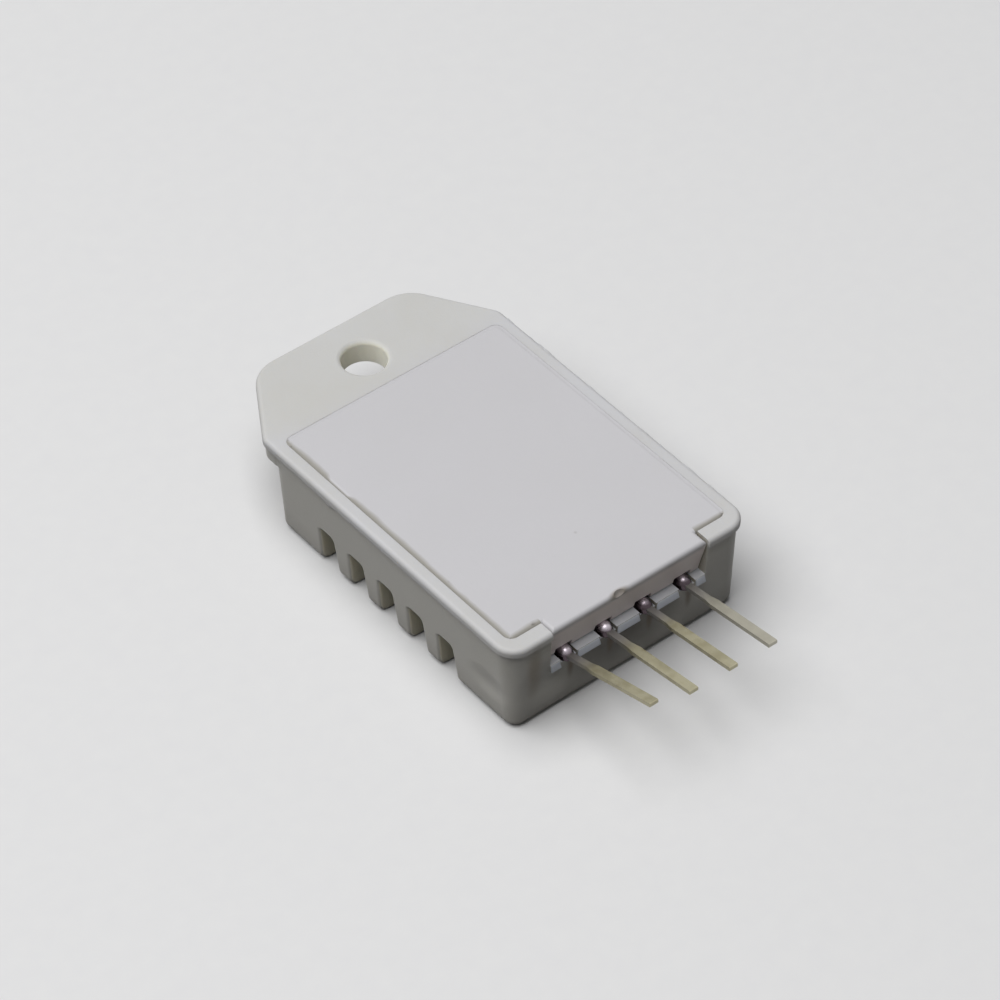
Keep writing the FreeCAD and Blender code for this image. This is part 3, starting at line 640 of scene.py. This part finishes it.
# %% Dress the solids
finishes = {
    "case": case_finish, "cover": cover_finish, "board": board_finish, "pin": pin_finish,
    "solder": solder_finish, "ceramic": ceramic_finish, "electrode": film_finish, "wire": wire_finish,
    "bead": bead_finish, "chip": chip_finish, "lead": lead_finish, "capacitor": capacitor_finish,
    "end_cap": cap_finish, "resistor": resistor_finish,
}
slot_of = {row["node"]: row["material_slot"] for row in frame["record"]["subparts"]}
for name, solid in frame["nodes"].items():
    for slot in solid.material_slots:
        slot.material = finishes[slot_of[name]]
print("solids dressed:", len(slot_of), "with", len(finishes), "finishes")

# %% [markdown]
# ## Modelling in edit mode
# The marks of the moulding are modelled with Blender's own operators, as by hand.
# An operator works on what is selected, so one helper selects parts of the mesh by
# their place. Another one pushes a mesh about by a clouds texture, which gives
# plastic flash its torn edge.

# %% Helpers for modelling in edit mode
uneven_edge = bpy.data.textures.new("uneven_edge", "CLOUDS")
uneven_edge.noise_scale = 0.7 * MM
uneven_edge.noise_depth = 3
uneven_edge.contrast = 1.8


def pick(test, kind="verts"):
    """In edit mode, select the vertices, edges or faces for which the test is true."""
    bpy.ops.mesh.select_all(action="DESELECT")
    body = bmesh.from_edit_mesh(bpy.context.object.data)
    body.select_mode = {kind[:-1].upper()}
    found = [item for item in getattr(body, kind) if test(item)]
    for item in found:
        item.select = True
    body.select_flush_mode()
    bmesh.update_edit_mesh(bpy.context.object.data)
    return len(found)


def ragged(thing, axis_name, strength, middle):
    """Push the mesh along one axis by the clouds texture, and apply it."""
    push = thing.modifiers.new("ragged_" + axis_name, "DISPLACE")
    push.texture = uneven_edge
    push.direction = axis_name
    push.strength = strength
    push.mid_level = middle
    bpy.ops.object.modifier_apply(modifier=push.name)


def apply_place():
    """Put the place, turn and scale of the active object into its mesh."""
    bpy.ops.object.transform_apply(location=True, rotation=True, scale=True)


print("helpers for edit mode ready")

# %% [markdown]
# ## A skin of flash in the seam
# At the right side and at the ear the cover is pressed so tightly into the housing
# that a thin skin of plastic closes the seam and fills the rounding beside it. A
# plane of the opening's size gets rounded corners and is inset to a narrow ring.
# Its middle is deleted, and the ring is extruded down. Beside the rounded edges at
# the left and at the pin end the ring is lowered, because the hollow is open there.

# %% The ring that closes the seam
seam_gap = 0.03 * MM
ring_width = 0.24 * MM
ring_depth = 0.3 * MM
ring_top = back_height - 0.012 * MM
ring_left, ring_right = cover_low.x - seam_gap, cover_high.x + seam_gap
ring_front, ring_rear = plate_front - seam_gap, cover_high.y + seam_gap
slack = 0.002 * MM


def beside_rounding(point):
    """True on the ring's top, beside the cover's rounded left and pin-end edges."""
    at_left = point.x < ring_left + 0.1 * MM and point.y < ring_rear - 0.6 * MM
    at_front = point.y < ring_front + 0.1 * MM and abs(point.x) > 4.0 * MM
    return point.z > back_height - 0.1 * MM and (at_left or at_front)


bpy.ops.object.select_all(action="DESELECT")
middle = ((ring_left + ring_right) / 2, (ring_front + ring_rear) / 2, ring_top)
bpy.ops.mesh.primitive_plane_add(size=1.0, location=middle)
seam = bpy.context.object
seam.name = "seam_flash"
seam.scale = (ring_right - ring_left - slack, ring_rear - ring_front - slack, 1.0)
apply_place()
bpy.ops.object.mode_set(mode="EDIT")
bpy.ops.mesh.select_all(action="SELECT")
bpy.ops.mesh.bevel(offset=0.5 * MM, offset_type="OFFSET", segments=8, affect="VERTICES")
bpy.ops.mesh.select_all(action="SELECT")
bpy.ops.mesh.inset(thickness=ring_width)
bpy.ops.mesh.delete(type="FACE")
pick(lambda edge: edge.calc_length() > 5 * MM, "edges")
bpy.ops.mesh.subdivide(number_cuts=90)
bpy.ops.mesh.select_all(action="SELECT")
bpy.ops.mesh.extrude_region_move(TRANSFORM_OT_translate={"value": (0.0, 0.0, -ring_depth)})
bpy.ops.mesh.select_all(action="SELECT")
bpy.ops.mesh.normals_make_consistent(inside=False)
lowered = pick(lambda v: beside_rounding(v.co))
bpy.ops.transform.translate(value=(0.0, 0.0, -0.2 * MM))
bpy.ops.object.mode_set(mode="OBJECT")
ragged(seam, "Z", -0.02 * MM, 0.2)
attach(seam, "root")
seam.data.materials.append(cover_finish)
print("seam ring:", len(seam.data.vertices), "vertices,", lowered, "of them lowered")

# %% [markdown]
# ## Ragged flash on the rim
# Plastic that creeps between the two halves of a mould leaves a torn thread along
# the parting line. A thin cylinder is laid along the rim's edge, cut into many
# short lengths and pushed about by a clouds texture, always inwards, so it sinks
# into the rim in some places and stands out in others.

# %% Threads of flash along the rim
def flash_thread(name, x, z, radius, push_x, push_z, lumps):
    """A torn thread along the rim; each lump is (y, wide, tall), a place where it is thicker."""
    low, high = pin_end + 1.3 * MM, cover_high.y
    bpy.ops.object.select_all(action="DESELECT")
    bpy.ops.mesh.primitive_cylinder_add(
        vertices=10, radius=radius, depth=high - low,
        location=(x, (low + high) / 2, z), rotation=(math.pi / 2, 0.0, 0.0))
    thread = bpy.context.object
    thread.name = name
    apply_place()
    bpy.ops.object.mode_set(mode="EDIT")
    for longest in (5.0 * MM, 0.8 * MM):
        pick(lambda edge: edge.calc_length() > longest, "edges")
        bpy.ops.mesh.subdivide(number_cuts=14)
    for y, wide, tall in lumps:
        for reach in (0.42 * MM, 0.34 * MM, 0.24 * MM, 0.13 * MM):
            pick(lambda v: abs(v.co.y - y) < reach)
            bpy.ops.transform.resize(value=(wide, 1.0, tall), center_override=(x, y, z))
    for end in (low, high):
        pick(lambda v: abs(v.co.y - end) < 0.01 * MM)
        bpy.ops.transform.resize(value=(0.3, 1.0, 0.3), center_override=(x, end, z))
    bpy.ops.object.mode_set(mode="OBJECT")
    ragged(thread, "X", push_x, 0.0)
    ragged(thread, "Z", push_z, 0.0)
    bpy.ops.object.shade_smooth()
    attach(thread, "root")
    thread.data.materials.append(case_finish)
    print("thread:", name, len(thread.data.vertices), "vertices")


right_lumps = [(y * MM, 1.03, 1.03) for y in (6.4, 5.4, 3.0, 0.8, -1.0, -3.2, -6.2)]
left_lumps = [(5.5 * MM, 1.02, 1.55), (-2.1 * MM, 1.0, 1.15)]
flash_thread("rim_flash_right", rim_side - 0.102 * MM, back_height - 0.102 * MM,
             0.088 * MM, -0.06 * MM, -0.06 * MM, right_lumps)
flash_thread("rim_flash_left", -rim_side + 0.053 * MM, back_height - 0.45 * MM,
             0.048 * MM, 0.02 * MM, -0.09 * MM, left_lumps)

# %% [markdown]
# ## The roots of the ear
# Under the rim the ear's slab ends in a small step beside the body's rounded
# corner. On the real moulding it runs out softly, so a short block continues the
# slab forward on each side, narrowed at its far end until the wall swallows it.
# The second block is a mirrored copy of the first, with a mesh of its own.

# %% Two run-outs beside the rear corners
block = Vector((0.4, 0.7, 0.9)) * MM
slab_side = rim_side - 0.2 * MM
slab_foot = back_height - 1.4 * MM
step_y = cover_high.y - 0.05 * MM
far_end = step_y - 0.64 * MM
near_edge = 0.01 * MM


def at_outer_foot(vertex):
    """True on the lower outer edge of the right block."""
    return vertex.co.z < slab_foot + near_edge and vertex.co.x > slab_side - near_edge


bpy.ops.object.select_all(action="DESELECT")
block_middle = (slab_side - block.x / 2, step_y - 0.3 * MM, slab_foot + block.z / 2)
bpy.ops.mesh.primitive_cube_add(size=1.0, location=block_middle)
root_right = bpy.context.object
root_right.name = "ear_root_right"
root_right.scale = block
apply_place()
bpy.ops.object.mode_set(mode="EDIT")
bpy.ops.mesh.select_all(action="SELECT")
bpy.ops.mesh.subdivide(number_cuts=3)
pick(lambda v: v.co.y < far_end)
inner_top = (slab_side - block.x, far_end, slab_foot + block.z)
bpy.ops.transform.resize(value=(0.5, 1.0, 0.6), center_override=inner_top)
pick(lambda edge: all(at_outer_foot(v) for v in edge.verts), "edges")
bpy.ops.mesh.bevel(offset=0.04 * MM, segments=2)
bpy.ops.object.mode_set(mode="OBJECT")
bpy.ops.object.duplicate()
root_left = bpy.context.object
root_left.name = "ear_root_left"
root_left.scale = (-1.0, 1.0, 1.0)
apply_place()
bpy.ops.object.mode_set(mode="EDIT")
bpy.ops.mesh.select_all(action="SELECT")
bpy.ops.mesh.normals_make_consistent(inside=False)
bpy.ops.object.mode_set(mode="OBJECT")
for root in (root_right, root_left):
    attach(root, "root")
    root.data.materials.clear()
    root.data.materials.append(case_finish)
    print("run-out:", root.name, len(root.data.vertices), "vertices")

# %% [markdown]
# ## Lips of the land
# The land between the pins ends in front in short sloping lips, with a notch
# between each two. One lip is made from a block: its upper front edge is drawn
# back, so the front slopes, and the edges are rounded. The others are copies of
# it, each with its own mesh, and the two at the ends are narrower.

# %% One lip for each stretch of land
lip_height = 0.44 * MM
lip_reach = 0.17 * MM
half_notch = 0.55 * MM
lip_back = wall_face + 0.1 * MM
lip_front = wall_face - lip_reach
notch_sides = [x + side * half_notch for x in pin_places for side in (-1, 1)]
land_end = window_half - 0.02 * MM
land_ends = [-land_end] + notch_sides + [land_end]
stretches = list(zip(land_ends[0::2], land_ends[1::2]))
bpy.ops.object.select_all(action="DESELECT")
bpy.ops.mesh.primitive_cube_add(size=1.0)
lip = bpy.context.object
lip.location = (0.0, (lip_back + lip_front) / 2, land_height - lip_height / 2 - 0.01 * MM)
lip.scale = (1.0 * MM, lip_back - lip_front, lip_height)
apply_place()
bpy.ops.object.mode_set(mode="EDIT")
pick(lambda v: v.co.y < wall_face and v.co.z > land_height - 0.1 * MM)
bpy.ops.transform.translate(value=(0.0, lip_reach - 0.03 * MM, 0.0))
pick(lambda edge: all(v.co.y < wall_face for v in edge.verts), "edges")
bpy.ops.mesh.bevel(offset=0.1 * MM, segments=4)
bpy.ops.object.mode_set(mode="OBJECT")
bpy.ops.object.shade_smooth_by_angle(angle=math.radians(40))
lips = [lip]
while len(lips) < len(stretches):
    bpy.ops.object.duplicate()
    lips.append(bpy.context.object)
for number, (lip, (low_x, high_x)) in enumerate(zip(lips, stretches), 1):
    bpy.ops.object.select_all(action="DESELECT")
    lip.select_set(True)
    bpy.context.view_layer.objects.active = lip
    lip.name = f"land_lip_{number}"
    lip.location.x = (low_x + high_x) / 2
    lip.scale.x = (high_x - low_x) / MM
    apply_place()
    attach(lip, "root")
    lip.data.materials.clear()
    lip.data.materials.append(case_finish)
    print("lip:", lip.name, "width", round((high_x - low_x) / MM, 2), "mm")

# %% [markdown]
# ## The studio
# The sensor lies on a plain pale floor. The real one was lit by one broad light
# from above and behind, so its back is bright, the long wall is in half shade and
# the pin end is darkest. The floor is pale to the eye and in reflections, yet
# throws back less light than it shows, which keeps that shade on the walls. Its
# top lies a hair under the sensor, so that the two never share a plane.

# %% Floor
def seen_directly(tree):
    """1 where the camera sees a thing, also in a mirror or through glass, and 0 for scattered light."""
    path = add(tree, "LightPath")
    direct = maths(tree, "MAXIMUM", path.outputs["Is Camera Ray"], path.outputs["Is Glossy Ray"])
    return maths(tree, "MAXIMUM", direct, path.outputs["Is Transmission Ray"])


pale = colour(222, 222, 223)
bpy.ops.mesh.primitive_plane_add(size=6.0, location=(0.0, 0.0, -0.02 * MM))
floor = bpy.context.object
floor.name = "studio_floor"
floor_finish, tree, shader = new_material("pale_floor_paper", **{"Roughness": 0.9, "Specular IOR Level": 0.1})
paper = add(tree, "TexNoise", {"Vector": here(tree), "Scale": 900.0, "Detail": 3.0})
seen = blend_colours(tree, paper.outputs[0], colour(226, 226, 226), pale)
shown = blend_colours(tree, seen_directly(tree), colour(82, 82, 84), seen)
tree.links.new(shown, shader.inputs["Base Color"])
floor.data.materials.append(floor_finish)
print("floor:", floor.name)

# %% [markdown]
# The air around is made in the same way: where the camera looks past the floor it
# sees the floor's pale tone, while the light that the air sheds on the sensor is
# much weaker, so that it only fills the shade a little.

# %% World: the same pale tone all round
world = bpy.data.worlds.new("studio_air")
bpy.context.scene.world = world
world.use_nodes = True
tree = world.node_tree
tree.nodes.clear()
soft_fill = add(tree, "Background", {"Color": (1.0, 1.0, 1.0, 1.0), "Strength": 0.09})
backdrop = add(tree, "Background", {"Color": pale, "Strength": 1.0})
either = add(tree, "MixShader", {0: seen_directly(tree), 1: soft_fill.outputs[0], 2: backdrop.outputs[0]})
add(tree, "OutputWorld", {"Surface": either.outputs[0]})
print("world:", world.name)

# %% [markdown]
# The lamp is one square of light, nearly half a metre wide and half a metre away,
# turned to the middle of the sensor. As it is so broad, its shadows are soft.

# %% Lamp: one broad light above and behind
lamp_place = Vector((-0.13, 0.055, 0.46))
sensor_middle = Vector((0.0, 0.0, 0.003))
bpy.ops.object.light_add(type="AREA", location=lamp_place)
lamp = bpy.context.object
lamp.name = "broad_key_light"
lamp.data.shape = "SQUARE"
lamp.data.size = 0.48
lamp.data.energy = 2.8
lamp.rotation_euler = (sensor_middle - lamp_place).to_track_quat("-Z", "Y").to_euler()
print("lamp:", lamp.name, round(lamp.data.energy, 2), "W")

# %% [markdown]
# ## The camera
# The photograph was taken from about a quarter of a metre away, above the pin end.
# Its place, its direction and its focal length were worked out from the straight
# edges in it, so that each edge of the model falls on the same edge in the picture.

# %% Camera
frame_pixels = 1000
focal_pixels = 4745.2
bpy.ops.object.camera_add(location=(-0.105740, -0.133531, 0.172072))
camera = bpy.context.object
camera.name = "photo_camera"
look = Vector((0.440650, 0.561654, -0.700266)).normalized()
right = Vector((0.779139, -0.626729, -0.012391)).normalized()
up = right.cross(look)
camera.rotation_euler = Matrix((right, up, -look)).transposed().to_euler()
camera.data.sensor_width = 36.0
camera.data.lens = camera.data.sensor_width * focal_pixels / frame_pixels
camera.data.clip_start = 0.01
camera.data.clip_end = 20.0
bpy.context.scene.camera = camera
bpy.context.scene.view_settings.view_transform = "Standard"
print("focal length:", round(camera.data.lens, 1), "mm")
